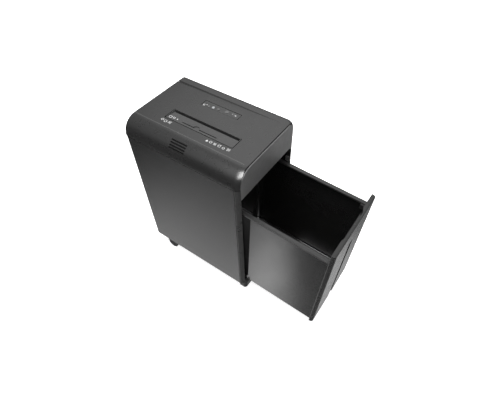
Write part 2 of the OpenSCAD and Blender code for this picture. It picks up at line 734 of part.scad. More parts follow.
// pair of wheels joined by their axle
module caster_wheels(x, y, a) translate([x, y, 0]) rotate([0, 0, a])
    translate([0, trail, wheel_z]) {
        rod_x(-16, 0, 0, 32, axle_r);
        for (s = [0, 180]) rotate([0, 90, s]) translate([0, 0, 4.2])
            rotate_extrude() polygon([[axle_r - 0.5, 0], [wheel_r - 1.5, 0], [wheel_r, 1.5],
                [wheel_r, 10.5], [wheel_r - 2, 12.5], [wheel_r - 5, 12.5],
                [wheel_r - 6.5, 11], [8, 11], [6, 12.5], [axle_r - 0.5, 12.5]]);
    }

module caster_fork_front_near() color("#17181a") seat() caster_fork(-stem_x, front_stem_y, -90);

module caster_fork_front_far() color("#17181a") seat() caster_fork(stem_x, front_stem_y, 90);

module caster_fork_rear_near() color("#17181a") seat() caster_fork(-stem_x, rear_stem_y, 180);

module caster_fork_rear_far() color("#17181a") seat() caster_fork(stem_x, rear_stem_y, 180);

module caster_wheels_front_near() color("#0f1011") seat() caster_wheels(-stem_x, front_stem_y, -90);

module caster_wheels_front_far() color("#0f1011") seat() caster_wheels(stem_x, front_stem_y, 90);

module caster_wheels_rear_near() color("#0f1011") seat() caster_wheels(-stem_x, rear_stem_y, 180);

module caster_wheels_rear_far() color("#0f1011") seat() caster_wheels(stem_x, rear_stem_y, 180);

module screws() color("#8f9194") seat()
    for (x = [-inner_x + 6, inner_x - 6], z = [40, 220, 400]) {
        rod_y(x, z, cabinet_d - wall + 0.05, 2, 3.4);
        rod_y(x, z, cabinet_d - 15, 12.1, 1.6);
    }

base_tray();
near_side_panel();
far_side_panel();
rear_panel();
front_post_near();
front_post_far();
bin_rail_near();
bin_rail_far();
bin_guide_blocks();
sill_glides();
head_cover();
front_plate();
head_chassis();
vent_baffle();
throat_tray();
feed_chute();
control_inlay();
power_key();
reverse_key();
forward_key();
status_lights();
control_board();
main_board();
motor();
motor_pinion();
idler_gear();
idler_pin();
cutter_shaft_a();
cutter_shaft_b();
drive_gear();
sync_gear_a();
sync_gear_b();
cutter_plate_front();
cutter_plate_rear();
shaft_bushes();
tie_rods();
stripper_comb_near();
stripper_comb_far();
gear_cover();
paper_sensor();
bin_switch();
cord_gland();
power_rocker();
rocker_bezel();
bin_bucket();
bin_rim();
bin_front();
bin_brackets();
bin_axle();
bin_rollers();
caster_fork_front_near();
caster_fork_front_far();
caster_fork_rear_near();
caster_fork_rear_far();
caster_wheels_front_near();
caster_wheels_front_far();
caster_wheels_rear_near();
caster_wheels_rear_far();
screws();
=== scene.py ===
"""Deskside paper shredder: visual model, materials, lights and camera."""
import math

import bmesh
import bpy
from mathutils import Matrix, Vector


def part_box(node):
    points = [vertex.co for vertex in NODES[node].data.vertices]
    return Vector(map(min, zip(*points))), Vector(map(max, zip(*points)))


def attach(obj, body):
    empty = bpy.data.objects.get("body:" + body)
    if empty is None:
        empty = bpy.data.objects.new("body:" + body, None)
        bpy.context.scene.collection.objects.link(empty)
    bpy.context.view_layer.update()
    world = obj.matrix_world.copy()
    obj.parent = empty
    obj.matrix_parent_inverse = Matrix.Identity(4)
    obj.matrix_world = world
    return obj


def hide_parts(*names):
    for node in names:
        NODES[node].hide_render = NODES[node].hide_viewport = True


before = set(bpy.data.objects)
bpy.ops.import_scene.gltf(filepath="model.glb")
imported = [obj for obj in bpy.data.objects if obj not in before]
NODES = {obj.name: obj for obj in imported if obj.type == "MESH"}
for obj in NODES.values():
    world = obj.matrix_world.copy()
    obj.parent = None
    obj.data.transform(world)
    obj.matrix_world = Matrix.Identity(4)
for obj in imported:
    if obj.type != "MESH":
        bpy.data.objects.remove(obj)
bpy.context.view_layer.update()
MM = 0.001

# ---------------------------------------------------------------- reference sizes, mm
CAB_LO, CAB_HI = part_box("head_cover")
SHIFT_Y = CAB_LO[1] / MM
BASE_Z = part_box("near_side_panel")[0][2] / MM
HALF_W = CAB_HI[0] / MM
DEPTH = (CAB_HI[1] - CAB_LO[1]) / MM
TOP = CAB_HI[2] / MM - BASE_Z
SKIRT = CAB_LO[2] / MM - BASE_Z
ABOVE, BELOW = TOP + 5, SKIRT - 20  # how far the cuts reach past the cover

SHOULDER, FAR_R = 49.0, 13.0  # radii of the head's near and far top edges
NOSE_DEPTH, NOSE_R = 22.0, 33.0  # rounding of the head's front end
NOSE_SHRINK = 0.36  # how much the shoulder's radius shrinks with the nose's inset
COVER_WALL, REAR_R = 3.2, 3.0
POST_W, POST_D, POST_NOSE_R = 9.0, 16.0, 18.7
POST_LIP = 1.2  # the posts' sides end this far before the panels
PANEL_WALL, PANEL_R = 3.0, 6.0

DROOP = math.radians(2.65)  # the bin's sizes below are those of the level bin
AXLE_Y, AXLE_Z, AXLE_BORE_R = 108.0, 369.0, 3.06
BIN_HALF_W, BIN_FRONT, BIN_BACK = 119.2, -258.9, 104.0
BIN_R, BIN_WALL = 25.0, 2.5
RIM_HALF_W, RIM_BACK, RIM_R = 120.0, 118.0, 10.0
RIM_LOW, RIM_HIGH = 374.0, 379.4
LUG_X, LUG_HALF_W = 100.0, 8.0
FRONT_HALF_W, FRONT_LOW, FRONT_HIGH = 121.0, 23.4, 415.4
FRONT_FACE, FRONT_BACK = -272.0, -259.0


def seat(p):
    """Cabinet millimetres (front plate at y 0, base at z 0) to the shared frame."""
    return Vector((p[0] * MM, (p[1] + SHIFT_Y) * MM, (p[2] + BASE_Z) * MM))


def dropped(p):
    """Same, for the bin, which is drawn level and then dropped about its rear axle."""
    y, z = p[1] - AXLE_Y, p[2] - AXLE_Z
    c, s = math.cos(DROOP), math.sin(DROOP)
    return seat((p[0], AXLE_Y + y * c - z * s, AXLE_Z + y * s + z * c))


# ---------------------------------------------------------------- mesh helpers
def add_object(name, data):
    obj = bpy.data.objects.new(name, data)
    bpy.context.scene.collection.objects.link(obj)
    return obj


def make(name, verts, faces, smooth=True):
    """Object with a mesh of the faces, all turned outwards."""
    mesh = bpy.data.meshes.new(name)
    mesh.from_pydata([tuple(v) for v in verts], [], faces)
    mesh.validate()
    bm = bmesh.new()
    bm.from_mesh(mesh)
    bmesh.ops.recalc_face_normals(bm, faces=bm.faces)
    bm.to_mesh(mesh)
    bm.free()
    if smooth:
        mesh.shade_smooth()
    return add_object(name, mesh)


def arc(cx, cy, r, a0, a1, n):
    """Points of an arc in the plane, angles in degrees."""
    out = []
    for i in range(n + 1):
        a = math.radians(a0 + (a1 - a0) * i / n)
        out.append((cx + r * math.cos(a), cy + r * math.sin(a)))
    return out


def circle(cx, cy, r, n=24):
    return arc(cx, cy, r, 0, 360 - 360 / n, n - 1)


def mirrored(outline, sign):
    """The outline itself for sign 1, its mirror image across the middle plane for sign -1."""
    return [(sign * x, y) for x, y in outline]


def at_height(outline, z):
    return [(x, y, z) for x, y in outline]


def rounded(x0, y0, x1, y1, r, n=8):
    """Rounded rectangle outline; r is one radius or four, from the lower left, counter-clockwise."""
    rs = (r,) * 4 if not isinstance(r, (tuple, list)) else r
    corners = [(x0, y0, 180), (x1, y0, 270), (x1, y1, 0), (x0, y1, 90)]
    signs = [(1, 1), (-1, 1), (-1, -1), (1, -1)]
    pts = []
    for (cx, cy, a), (sx, sy), q in zip(corners, signs, rs):
        if q <= 0:
            pts.append((cx, cy))
        else:
            pts += arc(cx + sx * q, cy + sy * q, q, a, a + 90, n)
    return pts


PLANES = {
    "z": lambda u, v, w: (u, v, w),
    "y": lambda u, v, w: (u, w, v),
    "x": lambda u, v, w: (w, u, v),
}


def closed_faces(n, rows, first=0):
    """Faces of a closed solid through rows of n points each; first is its first vertex."""
    last = first + (rows - 1) * n
    faces = [tuple(range(first, first + n))[::-1], tuple(range(last, last + n))]
    for a in range(first, last, n):
        faces += [(a + i, a + (i + 1) % n, a + n + (i + 1) % n, a + n + i) for i in range(n)]
    return faces


def loft(name, rows, place=seat):
    """Closed solid through outlines that have the same number of points."""
    verts = [place(p) for row in rows for p in row]
    return make(name, verts, closed_faces(len(rows[0]), len(rows)))


def prism(name, outline, plane, w0, w1, place=seat):
    """Outline extruded from w0 to w1 along the plane's normal, as a closed solid."""
    put = PLANES[plane]
    return loft(name, [[put(u, v, w) for u, v in outline] for w in (w0, w1)], place)


def modify(obj, kind, **values):
    """Adds a modifier with the given settings."""
    mod = obj.modifiers.new(kind.lower(), kind)
    for key, value in values.items():
        setattr(mod, key, value)


def bake(obj):
    """Replaces the object's mesh with its evaluated mesh."""
    graph = bpy.context.evaluated_depsgraph_get()
    mesh = bpy.data.meshes.new_from_object(obj.evaluated_get(graph))
    obj.modifiers.clear()
    obj.data = mesh


def combine(obj, operation, other):
    modify(obj, "BOOLEAN", operation=operation, solver="EXACT", object=other)
    bake(obj)
    bpy.data.objects.remove(other)


def cut(obj, cutter):
    """Subtracts the cutter from the object and removes it."""
    combine(obj, "DIFFERENCE", cutter)


def join(obj, other):
    """Adds the other solid to the object and removes it."""
    combine(obj, "UNION", other)


def edge(obj, width, segments=3, angle=32.0):
    """Rounds the sharp edges and keeps flat faces flat."""
    modify(obj, "BEVEL", width=width * MM, segments=segments, limit_method="ANGLE",
           angle_limit=math.radians(angle), harden_normals=True,
           miter_outer="MITER_ARC", use_clamp_overlap=True)
    bake(obj)
    obj.data.shade_smooth()
    modify(obj, "WEIGHTED_NORMAL", keep_sharp=True, weight=60)
    bake(obj)


# ---------------------------------------------------------------- materials
def shader(name):
    """New material, its node tree and its principled shader."""
    mat = bpy.data.materials.new(name)
    mat.use_nodes = True
    tree = mat.node_tree
    return mat, tree, tree.nodes["Principled BSDF"]


def grey(v, tint=0.0):
    """Grey of level v; a positive tint is cool and a negative one warm."""
    return (v * (1 - tint), v, v * (1 + tint))


def node(tree, kind, **inputs):
    """New shader node with the values of its inputs; an underscore stands for a space."""
    n = tree.nodes.new(kind)
    for key, value in inputs.items():
        n.inputs[key.replace("_", " ")].default_value = value
    return n


def noise(tree, scale, detail=3.0, rough=0.55):
    """Noise in the object's own coordinates, in cells per metre."""
    coord = tree.nodes.new("ShaderNodeTexCoord")
    tex = node(tree, "ShaderNodeTexNoise", Scale=scale, Detail=detail, Roughness=rough)
    tree.links.new(coord.outputs["Object"], tex.inputs["Vector"])
    return tex.outputs["Fac"]


def ramp(tree, source, low, high, p0=0.3, p1=0.7):
    """Colour that runs from low to high while the source runs from p0 to p1."""
    n = tree.nodes.new("ShaderNodeValToRGB")
    n.color_ramp.elements[0].position = p0
    n.color_ramp.elements[1].position = p1
    n.color_ramp.elements[0].color = (*low, 1)
    n.color_ramp.elements[1].color = (*high, 1)
    tree.links.new(source, n.inputs["Fac"])
    return n.outputs["Color"]


def add_bump(tree, bsdf, height, strength, distance):
    bump = node(tree, "ShaderNodeBump", Strength=strength, Distance=distance)
    tree.links.new(height, bump.inputs["Height"])
    tree.links.new(bump.outputs["Normal"], bsdf.inputs["Normal"])


def plastic(name, level, rough, grain=900.0, bump=0.12, mottle=0.08, spread=0.06, specular=0.5):
    """Moulded plastic: fine spark-eroded grain, faint mottling, uneven gloss."""
    mat, tree, bsdf = shader(name)
    fine = noise(tree, grain, detail=2.0, rough=0.6)
    broad = noise(tree, 14.0, detail=4.0, rough=0.5)
    color = ramp(tree, broad, grey(level * (1 - mottle)), grey(level * (1 + mottle)))
    speck = ramp(tree, fine, grey(0.93), grey(1.07), 0.35, 0.65)
    mix = tree.nodes.new("ShaderNodeMix")
    mix.data_type, mix.blend_type = "RGBA", "MULTIPLY"
    mix.inputs["Factor"].default_value = 1.0
    tree.links.new(color, mix.inputs["A"])
    tree.links.new(speck, mix.inputs["B"])
    tree.links.new(mix.outputs["Result"], bsdf.inputs["Base Color"])
    patches = noise(tree, 45.0, detail=5.0, rough=0.6)
    gloss = ramp(tree, patches, grey(rough - spread), grey(rough + spread))
    tree.links.new(gloss, bsdf.inputs["Roughness"])
    add_bump(tree, bsdf, fine, bump, 0.3 * MM)
    bsdf.inputs["Specular IOR Level"].default_value = specular
    return mat


def metal(name, level, rough, stretch=(1, 1, 40), scale=60.0, tint=0.01):
    """Brushed or ground metal with fine lines across the axis."""
    mat, tree, bsdf = shader(name)
    coord = tree.nodes.new("ShaderNodeTexCoord")
    mapping = tree.nodes.new("ShaderNodeMapping")
    mapping.inputs["Scale"].default_value = stretch
    tex = node(tree, "ShaderNodeTexNoise", Scale=scale, Detail=6.0, Roughness=0.6)
    tree.links.new(coord.outputs["Object"], mapping.inputs["Vector"])
    tree.links.new(mapping.outputs["Vector"], tex.inputs["Vector"])
    lines = tex.outputs["Fac"]
    color = ramp(tree, lines, grey(level * 0.85, tint), grey(level * 1.1, tint))
    tree.links.new(color, bsdf.inputs["Base Color"])
    gloss = ramp(tree, lines, grey(rough * 0.75), grey(rough * 1.3))
    tree.links.new(gloss, bsdf.inputs["Roughness"])
    add_bump(tree, bsdf, lines, 0.15, 0.2 * MM)
    bsdf.inputs["Metallic"].default_value = 1.0
    return mat


def board_material():
    """Green circuit board with a hint of tracks."""
    mat, tree, bsdf = shader("board_green")
    tracks = noise(tree, 260.0, detail=2.0)
    color = ramp(tree, tracks, (0.012, 0.06, 0.025), (0.02, 0.11, 0.045), 0.48, 0.52)
    tree.links.new(color, bsdf.inputs["Base Color"])
    gloss = ramp(tree, noise(tree, 90.0), grey(0.25), grey(0.4))
    tree.links.new(gloss, bsdf.inputs["Roughness"])
    return mat


def lit_material():
    """Translucent key cap with a faint light behind it."""
    mat, tree, bsdf = shader("key_lit")
    glow = ramp(tree, noise(tree, 300.0, 2.0), (0.22, 0.23, 0.24), (0.32, 0.33, 0.34))
    tree.links.new(glow, bsdf.inputs["Base Color"])
    tree.links.new(glow, bsdf.inputs["Emission Color"])
    bsdf.inputs["Emission Strength"].default_value = 0.05
    bsdf.inputs["Roughness"].default_value = 0.3
    return mat


def print_material(name, level):
    """Slightly uneven printing ink."""
    mat, tree, bsdf = shader(name)
    ink = ramp(tree, noise(tree, 700.0, 2.0), grey(level * 0.85), grey(level * 1.1))
    tree.links.new(ink, bsdf.inputs["Base Color"])
    bsdf.inputs["Roughness"].default_value = 0.5
    return mat


COVER = plastic("plastic_cover", 0.020, 0.28, bump=0.03, mottle=0.04, spread=0.012)
# Painted highlight: the bead is the cover's plastic, made lighter so that it shows as the bright line
# along the crease.
BEAD_HIGHLIGHT = plastic("painted_highlight_bead", 0.075, 0.30, bump=0.03)
PLATE = plastic("plastic_plate", 0.115, 0.42, bump=0.05)
PANEL = plastic("plastic_panel", 0.015, 0.26, bump=0.02, mottle=0.04, spread=0.010)
POST = plastic("plastic_post", 0.032, 0.30, bump=0.05, spread=0.05)
BASE = plastic("plastic_base", 0.030, 0.34)
CHASSIS = plastic("plastic_chassis", 0.015, 0.50)
DARK = plastic("plastic_dark", 0.012, 0.45)
TRAY = plastic("plastic_tray", 0.045, 0.42)
INLAY = plastic("plastic_inlay", 0.028, 0.35, bump=0.04)
KEY_DARK = plastic("plastic_key", 0.075, 0.38)
KEY_LIT = lit_material()
LENS = plastic("plastic_lens", 0.32, 0.25, bump=0.02)
BIN = plastic("plastic_bin", 0.022, 0.12, bump=0.02, spread=0.02)
# Painted shade: near-black, almost matt stand-in for the dark inside of the head (vent baffle, feed
# chute) and for the shade on the bin beside the near post.
SHADE_BLACK = plastic("painted_shade_black", 0.002, 0.8, specular=0.1)
BIN_RIM = plastic("plastic_rim", 0.024, 0.34, bump=0.05)
FRONT = plastic("plastic_front", 0.022, 0.24, bump=0.04, spread=0.04)
GUIDE = plastic("plastic_guide", 0.16, 0.40)
ROLLER = plastic("plastic_roller", 0.60, 0.35)
ACETAL = plastic("plastic_gear", 0.62, 0.35)
FORK = plastic("plastic_fork", 0.025, 0.38)
RUBBER = plastic("rubber_tread", 0.018, 0.62, grain=500.0, bump=0.2)
STEEL = metal("steel_plain", 0.50, 0.28)
CUTTER = metal("steel_cutter", 0.36, 0.34, scale=90.0)
SHEET = metal("steel_sheet", 0.42, 0.36, stretch=(30, 1, 1))
GEAR = metal("steel_gear", 0.30, 0.42)
BRONZE = metal("bronze_bush", 0.40, 0.35, tint=-0.25)
CAN = plastic("paint_motor", 0.20, 0.35, grain=400.0)
BOARD = board_material()
INK = print_material("print_grey", 0.60)
INK_DIM = print_material("print_dim", 0.12)

CAD_LOOK = {
    "base_tray": BASE, "near_side_panel": PANEL, "far_side_panel": PANEL, "rear_panel": BASE,
    "front_post_near": POST, "front_post_far": POST, "bin_rail_near": SHEET,
    "bin_rail_far": SHEET, "bin_guide_blocks": GUIDE, "sill_glides": GUIDE,
    "head_cover": COVER, "front_plate": PLATE, "head_chassis": CHASSIS, "vent_baffle": SHADE_BLACK,
    "throat_tray": TRAY, "feed_chute": SHADE_BLACK, "control_inlay": INLAY, "power_key": KEY_LIT,
    "reverse_key": KEY_DARK, "forward_key": KEY_DARK, "status_lights": LENS,
    "control_board": BOARD, "main_board": BOARD, "motor": CAN, "motor_pinion": STEEL,
    "idler_gear": ACETAL, "idler_pin": STEEL, "cutter_shaft_a": CUTTER,
    "cutter_shaft_b": CUTTER, "drive_gear": GEAR, "sync_gear_a": GEAR, "sync_gear_b": GEAR,
    "cutter_plate_front": SHEET, "cutter_plate_rear": SHEET, "shaft_bushes": BRONZE,
    "tie_rods": STEEL, "stripper_comb_near": CHASSIS, "stripper_comb_far": CHASSIS,
    "gear_cover": CHASSIS, "paper_sensor": DARK, "bin_switch": DARK, "cord_gland": DARK,
    "power_rocker": DARK, "rocker_bezel": DARK, "bin_bucket": BIN, "bin_rim": BIN_RIM,
    "bin_front": FRONT, "bin_brackets": CHASSIS, "bin_axle": STEEL, "bin_rollers": ROLLER,
    "screws": STEEL,
}
for corner in ("front_near", "front_far", "rear_near", "rear_far"):
    CAD_LOOK["caster_fork_" + corner] = FORK
    CAD_LOOK["caster_wheels_" + corner] = RUBBER
for name, obj in NODES.items():
    obj.data.materials.clear()
    obj.data.materials.append(CAD_LOOK[name])


def finish_piece(obj, mat, body, slot, *nodes):
    """Gives the piece its material and body, and hides the nodes it stands for; the slot is not used.
    """
    obj.data.materials.clear()
    obj.data.materials.append(mat)
    for poly in obj.data.polygons:
        poly.material_index = 0
    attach(obj, body)
    if nodes:
        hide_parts(*nodes)


# ---------------------------------------------------------------- head cover
def nose_inset(y, start=NOSE_DEPTH, r=NOSE_R):
    """How far the sides are drawn in at depth y, for the rounded nose."""
    if y >= start:
        return 0.0
    return r - math.sqrt(r ** 2 - (start - y) ** 2)


def head_row(y, d, t, low):
    """Section at depth y, near bottom round to far bottom; d is the inset of the sides, t the wall."""
    near_r, far_r = SHOULDER - NOSE_SHRINK * d, FAR_R + d
    outline = [(-HALF_W + d + t, low)]
    outline += arc(near_r + d - HALF_W, TOP - near_r, near_r - t, 180, 90, 28)
    outline += arc(HALF_W - d - far_r, TOP - far_r, far_r - t, 90, 0, 14)
    outline += [(HALF_W - d - t, low)]
    return [(x, y, z) for x, z in outline]


def nose_row(y, t, low):
    return head_row(y, nose_inset(y), t, low)


PLATE_NEAR_R, PLATE_FAR_R = 45.0, 22.0
PLATE_HALF_W = HALF_W - POST_W
PLATE_LOW, PLATE_TOP = 437.0, TOP - 0.3
PLATE_T = 2.2
FILLET_R, FILLET_TIP = 19.0, 1.2


def plate_outline(grow, low, top):
    """Front plate without its fillet, grown on all sides but the bottom."""
    w = PLATE_HALF_W
    outline = [(w + grow, low), (w + grow, top - PLATE_FAR_R)]
    outline += arc(w - PLATE_FAR_R, top - PLATE_FAR_R, PLATE_FAR_R + grow, 0, 90, 10)[1:]
    outline += arc(PLATE_NEAR_R - w, top - PLATE_NEAR_R, PLATE_NEAR_R + grow, 90, 180, 18)
    return outline + [(-w - grow, low)]


def filleted_plate():
    """Front plate with the concave fillet that runs down its far end."""
    outline = plate_outline(0.0, PLATE_LOW, PLATE_TOP)
    outline[0] = (PLATE_HALF_W, PLATE_LOW - FILLET_R + FILLET_TIP)
    return outline + arc(PLATE_HALF_W - FILLET_R, PLATE_LOW - FILLET_R, FILLET_R, 90, 4, 10)


def head_shell():
    """Cover: a closed shell with a rounded nose, drawn in at both sides of the front plate."""
    nose = [0.0, 0.5, 1.2, 2.2, 3.4, 4.8, 6.4, 8.2, 10.2, 12.4, 14.8, 17.2, 19.6, NOSE_DEPTH]
    straight = [60, 130, 200, 270, 340, DEPTH - REAR_R]
    rows = [nose_row(y, 0.0, SKIRT) for y in nose + straight]
    for step in range(1, 7):
        a = math.radians(15 * step)
        y = DEPTH - REAR_R + REAR_R * math.sin(a)
        rows.append(head_row(y, 0.0, REAR_R - REAR_R * math.cos(a), SKIRT))
    shell = loft("head_cover_shell", rows)
    hollow = [2.6, 6.0, 10.0, 14.0, 18.0, NOSE_DEPTH, 120, 260, DEPTH - REAR_R]
    cut(shell, loft("hollow", [nose_row(y, COVER_WALL, BELOW) for y in hollow]))
    seam, mouth_depth = 0.9, 5.2
    mouth = plate_outline(seam, BELOW, TOP + 0.2)
    cut(shell, prism("mouth", mouth, "y", -2, mouth_depth))
    return shell


def capsule(name, p0, p1, r, depth0, depth1, place, n=8):
    """Round-ended slot between two points of the u, v plane, from depth0 to depth1."""
    a = math.degrees(math.atan2(p1[1] - p0[1], p1[0] - p0[0]))
    outline = arc(*p1, r, a - 90, a + 90, n) + arc(*p0, r, a + 90, a + 270, n)
    return prism(name, outline, "z", depth0, depth1, place)


def shoulder_frame(angle):
    """Places u along the arc, v along the depth and w outwards on the shoulder."""
    a = math.radians(angle)
    cx, cz = SHOULDER - HALF_W, TOP - SHOULDER

    def place(p):
        out = SHOULDER + p[2]
        x = cx - out * math.cos(a) + p[0] * math.sin(a)
        z = cz + out * math.sin(a) + p[0] * math.cos(a)
        return seat((x, p[1], z))
    return place


RECESS = (-54.0, 77.0, -11.5, 310.0)
RECESS_DEPTH = 12
RECESS_SEAM = 1.8  # dark gap round the throat tray, except along the paper slot
INLAY_BOX = (46.0, 135.0, 69.0, 262.0)
INLAY_SEAMS = ((69.0, 134.0, 70.2, 263.3), (45.5, 262.1, 69.5, 263.3), (45.5, 134.0, 69.5, 134.9))
INLAY_DEPTH, INLAY_SEAM_DEPTH = 1.0, 2.6
POWER_Y, REVERSE_Y, FORWARD_Y = 223, 206, 178
SMALL_KEY_R, LARGE_KEY_R = 4.8, 6.3
LIGHT_YS, LIGHT_R = (238, 159), 1.7
KEY_DEPTH = 8
VENTS, VENT_PITCH, FIRST_VENT = 4, 9.0, 34.5  # pitch and first place in degrees of the shoulder
VENT_Y, VENT_R = (185, 234), 2.3
VALLEY_X, VALLEY_LIFT = 102.5, 0.6
VALLEY = ((30.0, 1.4, 0.9), (130.0, 5.0, 2.4), (DEPTH + 5, 8.0, 3.6))  # depth, width, fall
REAR_REACH = DEPTH - 12
GLAND_X, GLAND_Z, GLAND_R = -100, 486, 10.1
ROCKER_BOX = (-66, 478, -44, 508)
BEAD_X = (-87.0, -85.2)


def row_x(y):
    """Keys and lights stand on a line that runs slightly outwards towards the front."""
    return 50.0 + 11.0 * (251.0 - y) / 104.0


def top_cutter(name, outline, depth):
    return prism(name, outline, "z", TOP - depth, ABOVE)


def valley_row(y, width, fall):
    """V-shaped section, steeper on its far side."""
    z = TOP + VALLEY_LIFT
    return [(VALLEY_X - width, y, z), (VALLEY_X, y, z - fall), (VALLEY_X + 0.4 * width, y, z)]


def head_cover():
    cover = head_shell()
    x0, y0, x1, y1 = RECESS
    recess = rounded(x0 - RECESS_SEAM, y0 - RECESS_SEAM, x1, y1 + RECESS_SEAM, 3.0, 5)
    cut(cover, top_cutter("recess", recess, RECESS_DEPTH))
    cut(cover, top_cutter("inlay_pocket", rounded(*INLAY_BOX, 2.0, 4), INLAY_DEPTH))
    for box in INLAY_SEAMS:
        cut(cover, top_cutter("inlay_gap", rounded(*box, 0.3, 2), INLAY_SEAM_DEPTH))
    for k in range(VENTS):
        slope = shoulder_frame(FIRST_VENT + VENT_PITCH * k)
        cut(cover, capsule("vent", (0, VENT_Y[0]), (0, VENT_Y[1]), VENT_R, -8, 4, slope))
    keys = [(POWER_Y, SMALL_KEY_R), (REVERSE_Y, SMALL_KEY_R), (FORWARD_Y, LARGE_KEY_R)]
    for y, r in keys + [(y, LIGHT_R) for y in LIGHT_YS]:
        cut(cover, top_cutter("key_hole", circle(row_x(y), y, r), KEY_DEPTH))
    cut(cover, loft("valley", [valley_row(*values) for values in VALLEY]))
    gland = circle(GLAND_X, GLAND_Z, GLAND_R)
    cut(cover, prism("gland_hole", gland, "y", REAR_REACH, DEPTH + 5))
    cut(cover, prism("rocker_hole", rounded(*ROCKER_BOX, 0.5, 2), "y", REAR_REACH, DEPTH + 5))
    edge(cover, 0.5, 2, 30)
    return cover


def shoulder_bead():
    """Fine raised line where the shoulder meets the top; its grey, lighter than the cover's, is a
    painted highlight along the crease.
    """
    outline = rounded(BEAD_X[0], 16.0, BEAD_X[1], DEPTH - 3.5, 0.4, 2)
    bead = prism("shoulder_bead", outline, "z", TOP - 0.6, TOP + 0.3)
    edge(bead, 0.25, 2)
    return bead


def front_plate():
    plate = prism("front_plate_face", filleted_plate(), "y", 0.0, PLATE_T)
    edge(plate, 0.25, 2)
    return plate


finish_piece(head_cover(), COVER, "cabinet", "cover", "head_cover")
finish_piece(shoulder_bead(), BEAD_HIGHLIGHT, "cabinet", "cover")
finish_piece(front_plate(), PLATE, "cabinet", "plate", "front_plate")


# ---------------------------------------------------------------- printed marks
def stroke(x0, y0, x1, y1, w):
    """Outline of a straight stroke of width w."""
    run = Vector((x1 - x0, y1 - y0)).normalized() * (w / 2)
    return [(x0 - run.y, y0 + run.x), (x0 + run.y, y0 - run.x), (x1 + run.y, y1 - run.x),
            (x1 - run.y, y1 + run.x)]


def ring(x, y, r, w, start=0, sweep=360, n=18):
    """Outlines of the segments of a ring, so that it stays a set of closed solids."""
    outer, inner = arc(x, y, r, start, start + sweep, n), arc(x, y, r - w, start, start + sweep, n)
    if sweep < 360:
        return [outer + inner[::-1]]
    half = n // 2
    return [outer[:half + 1] + inner[:half + 1][::-1], outer[half:] + inner[half:][::-1]]


def icon(kind, x, y, size):
    """Plain generic signs: page, ring, bar stack, wedge, dot, power, arrow pair."""
    h = size / 2
    if kind == "page":
        return [stroke(x - h, y - h, x + h, y - h, 1.2), stroke(x - h, y + h, x + h, y + h, 1.2),
                stroke(x - h, y - h + 0.7, x - h, y + h - 0.7, 1.2),
                stroke(x + h, y - h + 0.7, x + h, y + h - 0.7, 1.2)]
    if kind == "ring":
        return ring(x, y, h, 1.3)
    if kind == "bars":
        return [stroke(x - h, y + k * h * 0.75, x + h, y + k * h * 0.75, 1.3) for k in (-1, 0, 1)]
    if kind == "wedge":
        return [[(x - h, y - h), (x + h, y), (x - h, y + h)]]
    if kind == "dot":
        return [circle(x, y, h * 0.6)]
    if kind == "power":
        return ring(x, y, h, 1.2, 60, 240) + [stroke(x, y, x + h + 0.8, y, 1.2)]
    return [[(x - h, y - h * 0.2), (x - h * 0.2, y - h), (x - h * 0.2, y - h * 0.2)],
            [(x + h, y + h * 0.2), (x + h * 0.2, y + h), (x + h * 0.2, y + h * 0.2)],
            stroke(x - h * 0.9, y + h, x + h * 0.1, y + h, 1.0)]


TRAY_X, TRAY_DROP, TRAY_SLOPE = -52.2, 1.2, 2.8 / 33.2
INLAY_DROP = 0.05
INK_SUNK, INK_PROUD = -0.15, 0.07


def inside(box, x, y):
    return box[0] < x < box[2] and box[1] < y < box[3]


def top_surface(x, y):
    """Height of the surface that carries the marks: throat tray, inlay or cover."""
    if inside(RECESS, x, y):
        return TOP - TRAY_DROP - TRAY_SLOPE * (x - TRAY_X)
    return TOP - INLAY_DROP if inside(INLAY_BOX, x, y) else TOP


def marks(name, icons):
    """Flat-shaded mesh with one thin solid for each outline of each sign."""
    verts, faces = [], []
    for kind, x, y, size in icons:
        for outline in icon(kind, x, y, size):
            faces += closed_faces(len(outline), 2, len(verts))
            for lift in (INK_SUNK, INK_PROUD):
                verts += [seat((u, v, top_surface(u, v) + lift)) for u, v in outline]
    return make(name, verts, faces, smooth=False)


# kind, place across and along the top, size
SIGNS = [("ring", -66, 309, 8.5), ("page", -67.5, 296, 7.5), ("bars", -66, 282, 8.5),
         ("page", -43, 299.5, 8.0), ("ring", -42, 287, 8.0), ("dot", -41.6, 275.5, 6.0),
         ("wedge", -67, 149.5, 8.0), ("ring", -66.8, 137.2, 8.5), ("bars", -67.2, 123.5, 8.0),
         ("page", -66.2, 109.5, 7.5), ("ring", -67.4, 95.8, 8.0), ("bars", -65.4, 80.5, 9.0),
         ("power", 50.5, 254.5, 6.5), ("dot", 54.5, 247.5, 5.0), ("arrows", 58.0, 147.4, 7.5)]
finish_piece(marks("printed_marks", SIGNS), INK, "cabinet", "lens")
key_sign = marks("key_ring_mark", [("ring", row_x(FORWARD_Y), FORWARD_Y, 8.0)])
finish_piece(key_sign, INK_DIM, "forward_key", "key_dark")


# ---------------------------------------------------------------- cabinet
def post(name, sign):
    """Corner post with a rounded front edge; sign 1 is the near one."""
    depths = (POST_D - POST_LIP, 14, 12, 10, 8, 6.5, 5, 3.8, 2.7, 1.8, 1.0, 0.4, 0.0)
    outline = [(-HALF_W + nose_inset(y, POST_D, POST_NOSE_R), y) for y in depths]
    outline += [(-HALF_W + POST_W, 0.0), (-HALF_W + POST_W, POST_D - POST_LIP)]
    obj = prism(name, mirrored(outline, sign), "z", 0.1, SKIRT - 1.4)
    edge(obj, 0.7, 3, 35)
    return obj


finish_piece(post("post_near", 1), POST, "cabinet", "post", "front_post_near")
finish_piece(post("post_far", -1), POST, "cabinet", "post", "front_post_far")

FLANGE_REACH, FLANGE_DEPTHS = 15, (DEPTH - 12, DEPTH - 8)
FLANGE_LOW, FLANGE_HIGH = 15, 400


